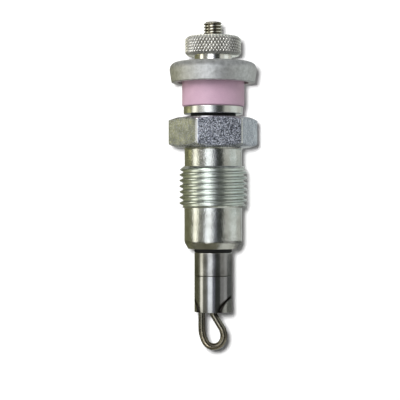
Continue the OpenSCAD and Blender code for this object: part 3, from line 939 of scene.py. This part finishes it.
# Nearer screens for the poles, the hexagon, the thread and the wire, pale where these show a bright band and
# dark between: from and to in the same degrees, lower and upper ends, and glow
NEAR_SCREENS = (
    (-65, -46, -0.0235, -0.0032, (0.23, 0.23, 0.19)),
    (-5, 9, -0.0235, -0.0032, (0.24, 0.25, 0.3)),
    (9, 42, -0.0235, -0.0032, (0.05, 0.055, 0.05)),
    (42, 66, -0.0255, -0.0032, (0.31, 0.31, 0.3)),
    (66, 90, -0.0255, -0.0032, (0.47, 0.47, 0.46)),
    (90, 170, -0.0255, -0.0032, (0.125, 0.13, 0.125)),
    (-182, -98, -0.0255, -0.0032, (0.13, 0.13, 0.075)),
    (-115, -93, 0.0298, 0.0398, (1.3, 1.25, 0.57)),
    (64, 90, 0.0298, 0.0398, (0.56, 0.6, 0.59)),
    (70, 95, 0.0105, 0.0237, (0.54, 0.63, 0.62)),
    (95, 140, 0.0105, 0.0237, (0.38, 0.45, 0.44)),
    (-70, -57, 0.0105, 0.0237, (1.7, 1.68, 1.38)),
    (-46, -29, 0.0105, 0.0237, (0.2, 0.2, 0.19)),
    (-8, 5, 0.0105, 0.0237, (0.8, 0.83, 0.86)),
    (-30, -10, -0.046, -0.03, (2.2, 2.2, 2.1)),
    (-30, -10, -0.03, -0.0235, (0.8, 0.8, 0.75)),
    (-98, -30, -0.044, -0.0235, (0.08, 0.08, 0.06)),
    (-10, 42, -0.044, -0.0235, (0.06, 0.06, 0.055)),
    (42, 178, -0.044, -0.0256, (0.24, 0.24, 0.225)),
    (-54, -34, 0.0298, 0.0398, (1.0, 1.0, 0.98)),
    (126, 148, 0.0298, 0.0398, (0.8, 0.89, 0.84)),
)
NEAR_R = 0.07
NEAR_COLUMNS = 24


def smooth(share):
    share = min(1, max(0, share))
    return share * share * (3 - 2 * share)


def card_glow(cards, degrees):
    glow = Vector(DARK)
    for centre, half, soft, colour in cards:
        off = abs((degrees - centre + 180) % 360 - 180)
        share = smooth((half + soft - off) / soft)
        glow = Vector(max(a, b * share) for a, b in zip(glow, colour))
    return glow


def tent_glow(degrees, up):
    belt = card_glow(BELT, degrees)
    ends = card_glow(UPPER if up > 0 else LOWER, degrees)
    return belt.lerp(ends, smooth((abs(up) - BELT_EDGE) / (BELT_END - BELT_EDGE)))


def glow_material():
    material = bpy.data.materials.new("glow")
    material.use_nodes = True
    tree = material.node_tree
    tree.nodes.remove(tree.nodes["Principled BSDF"])
    glow = tree.nodes.new("ShaderNodeAttribute")
    glow.attribute_name = "glow"
    emission = tree.nodes.new("ShaderNodeEmission")
    emission.inputs["Strength"].default_value = 1
    tree.links.new(glow.outputs["Color"], emission.inputs["Color"])
    tree.links.new(emission.outputs["Emission"], tree.nodes["Material Output"].inputs["Surface"])
    return material


# Glowing screen over columns of places, each with its glow, which the camera doesn't see
def add_screen(name, columns, material):
    mesh = bpy.data.meshes.new(name)
    build = bmesh.new()
    layer = build.verts.layers.float_color.new("glow")
    grid = []
    for column in columns:
        grid.append([])
        for place, glow in column:
            vert = build.verts.new(place)
            vert[layer] = (*glow, 1)
            grid[-1].append(vert)
    for left, right in zip(grid, grid[1:]):
        for low in range(len(left) - 1):
            build.faces.new((left[low], right[low], right[low + 1], left[low + 1]))
    build.to_mesh(mesh)
    build.free()
    screen = bpy.data.objects.new(name, mesh)
    scene.collection.objects.link(screen)
    mesh.materials.append(material)
    screen.visible_camera = False
    screen.visible_shadow = False
    return screen


# Angle round the axis for a turn from the camera towards the right, in degrees
def from_camera(degrees):
    return math.radians(degrees - 90)


def tent_point(degrees, up):
    r = TENT_R * math.cos(math.radians(up))
    return round_axis(r, from_camera(degrees), TENT_R * math.sin(math.radians(up)))


glow = glow_material()
turns = [360 * i / TENT_COLUMNS for i in range(TENT_COLUMNS + 1)]
columns = [[(tent_point(a, up), tent_glow(a, up)) for up in TENT_ROWS] for a in turns]
tent = add_screen("tent", columns, glow)
for number, (start, end, low, high, tone) in enumerate(NEAR_SCREENS):
    turns = [start + (end - start) * i / NEAR_COLUMNS for i in range(NEAR_COLUMNS + 1)]
    columns = [[(round_axis(NEAR_R, from_camera(a), z), tone) for z in (low, high)] for a in turns]
    add_screen(f"near_screen_{number}", columns, glow).visible_diffuse = False


# Round soft lamp, pointed at a place
def add_lamp(name, place, aim, size, energy):
    data = bpy.data.lights.new(name, "AREA")
    data.shape = "DISK"
    data.size = size
    data.energy = energy
    lamp = bpy.data.objects.new(name, data)
    lamp.location = place
    lamp.rotation_euler = (Vector(aim) - lamp.location).to_track_quat("-Z", "Y").to_euler()
    scene.collection.objects.link(lamp)
    return lamp


# Pale table that the object lies on in the camera's view. It has one side, and a lamp of its own for the
# soft shadow
TABLE_Y = 0.0122
TABLE_HALF = 0.09
TABLE_CENTRE_Z = 0.013
TABLE_GLOW = 0.1
TABLE_TONE = 0.8
SHADOW_LAMP_OFFSET = 0.028
SHADOW_LAMP_SIZE = 0.046
SHADOW_LAMP_ENERGY = 1.85


def add_table():
    mesh = bpy.data.meshes.new("table")
    low = TABLE_CENTRE_Z - TABLE_HALF
    high = TABLE_CENTRE_Z + TABLE_HALF
    mesh.from_pydata(
        [(-TABLE_HALF, TABLE_Y, low), (TABLE_HALF, TABLE_Y, low),
         (TABLE_HALF, TABLE_Y, high), (-TABLE_HALF, TABLE_Y, high)], [], [(0, 1, 2, 3)])
    table = bpy.data.objects.new("table", mesh)
    scene.collection.objects.link(table)
    material = bpy.data.materials.new("table")
    material.use_nodes = True
    tree = material.node_tree
    tree.nodes.remove(tree.nodes["Principled BSDF"])
    pale = tree.nodes.new("ShaderNodeBsdfDiffuse")
    pale.inputs["Color"].default_value = (TABLE_TONE, TABLE_TONE, TABLE_TONE, 1)
    glow = tree.nodes.new("ShaderNodeEmission")
    glow.inputs["Strength"].default_value = TABLE_GLOW
    front = tree.nodes.new("ShaderNodeAddShader")
    tree.links.new(pale.outputs["BSDF"], front.inputs[0])
    tree.links.new(glow.outputs["Emission"], front.inputs[1])
    back = tree.nodes.new("ShaderNodeBsdfTransparent")
    side = tree.nodes.new("ShaderNodeNewGeometry")
    mix = tree.nodes.new("ShaderNodeMixShader")
    tree.links.new(side.outputs["Backfacing"], mix.inputs["Fac"])
    tree.links.new(front.outputs["Shader"], mix.inputs[1])
    tree.links.new(back.outputs["BSDF"], mix.inputs[2])
    tree.links.new(mix.outputs["Shader"], tree.nodes["Material Output"].inputs["Surface"])
    mesh.materials.append(material)
    table.visible_diffuse = False
    table.visible_glossy = False
    table.visible_transmission = False
    table.visible_shadow = False
    return table


# Keeps a light to one object
def light_only(light, piece):
    lit = bpy.data.collections.new(f"{light.name}_lit")
    lit.objects.link(piece)
    light.light_linking.receiver_collection = lit


# Keeps a light off some objects
def shade_from(light, objects):
    shaded = bpy.data.collections.new(f"{light.name}_shaded")
    for place, piece in enumerate(objects):
        shaded.objects.link(piece)
        shaded.collection_objects[place].light_linking.link_state = "EXCLUDE"
    light.light_linking.receiver_collection = shaded


# Lamps, each with its place, aim, size and energy: for the whole object from the upper left, for the cap and
# the wire from the lower left, and for the nut from just above the camera
KEY_LAMP = ((-0.24, -0.4, 0.3), (0, 0, 0.02), 0.35, 1.6)
CAP_LAMP = ((-0.19, -0.42, 0.02), (0, 0, 0.044), 0.34, 0.42)
NUT_LAMP = ((-0.075, -0.42, 0.103), (0, 0, 0.054), 0.12, 0.13)
WIRE_LAMP = ((-0.0274, -0.0644, -0.055), (0, 0, -0.025), 0.026, 0.008)
table = add_table()
key = add_lamp("key", *KEY_LAMP)
light_only(add_lamp("cap_lamp", *CAP_LAMP), cap)
light_only(add_lamp("nut_lamp", *NUT_LAMP), nut)
light_only(add_lamp("wire_lamp", *WIRE_LAMP), wire)
shadow_place = camera.location + Vector((-SHADOW_LAMP_OFFSET, 0, SHADOW_LAMP_OFFSET))
shadow_aim = shadow_place + Vector((0, 1, 0))
light_only(add_lamp("shadow_lamp", shadow_place, shadow_aim, SHADOW_LAMP_SIZE, SHADOW_LAMP_ENERGY), table)
shade_from(key, [table, wire, cap])
shade_from(tent, [table])


# White as the camera and reflections see it, and plain light otherwise
def seen_white(tree):
    path = tree.nodes.new("ShaderNodeLightPath")
    seen = path.outputs["Is Camera Ray"]
    for kind in ("Is Glossy Ray", "Is Transmission Ray"):
        either = tree.nodes.new("ShaderNodeMath")
        either.operation = "MAXIMUM"
        tree.links.new(seen, either.inputs[0])
        tree.links.new(path.outputs[kind], either.inputs[1])
        seen = either.outputs["Value"]
    return seen


# World: a plain ambient light, and white where it is seen
AMBIENT_TONE = (0.9, 0.92, 0.95, 1)
AMBIENT_STRENGTH = 0.75
WHITE = (1, 1, 1, 1)
world = bpy.data.worlds.new("studio")
scene.world = world
world.use_nodes = True
tree = world.node_tree
ambient = tree.nodes["Background"]
ambient.inputs["Color"].default_value = AMBIENT_TONE
ambient.inputs["Strength"].default_value = AMBIENT_STRENGTH
white = tree.nodes.new("ShaderNodeBackground")
white.inputs["Color"].default_value = WHITE
white.inputs["Strength"].default_value = 1
mix = tree.nodes.new("ShaderNodeMixShader")
tree.links.new(seen_white(tree), mix.inputs["Fac"])
tree.links.new(ambient.outputs["Background"], mix.inputs[1])
tree.links.new(white.outputs["Background"], mix.inputs[2])
tree.links.new(mix.outputs["Shader"], tree.nodes["World Output"].inputs["Surface"])

scene.view_settings.view_transform = "Standard"
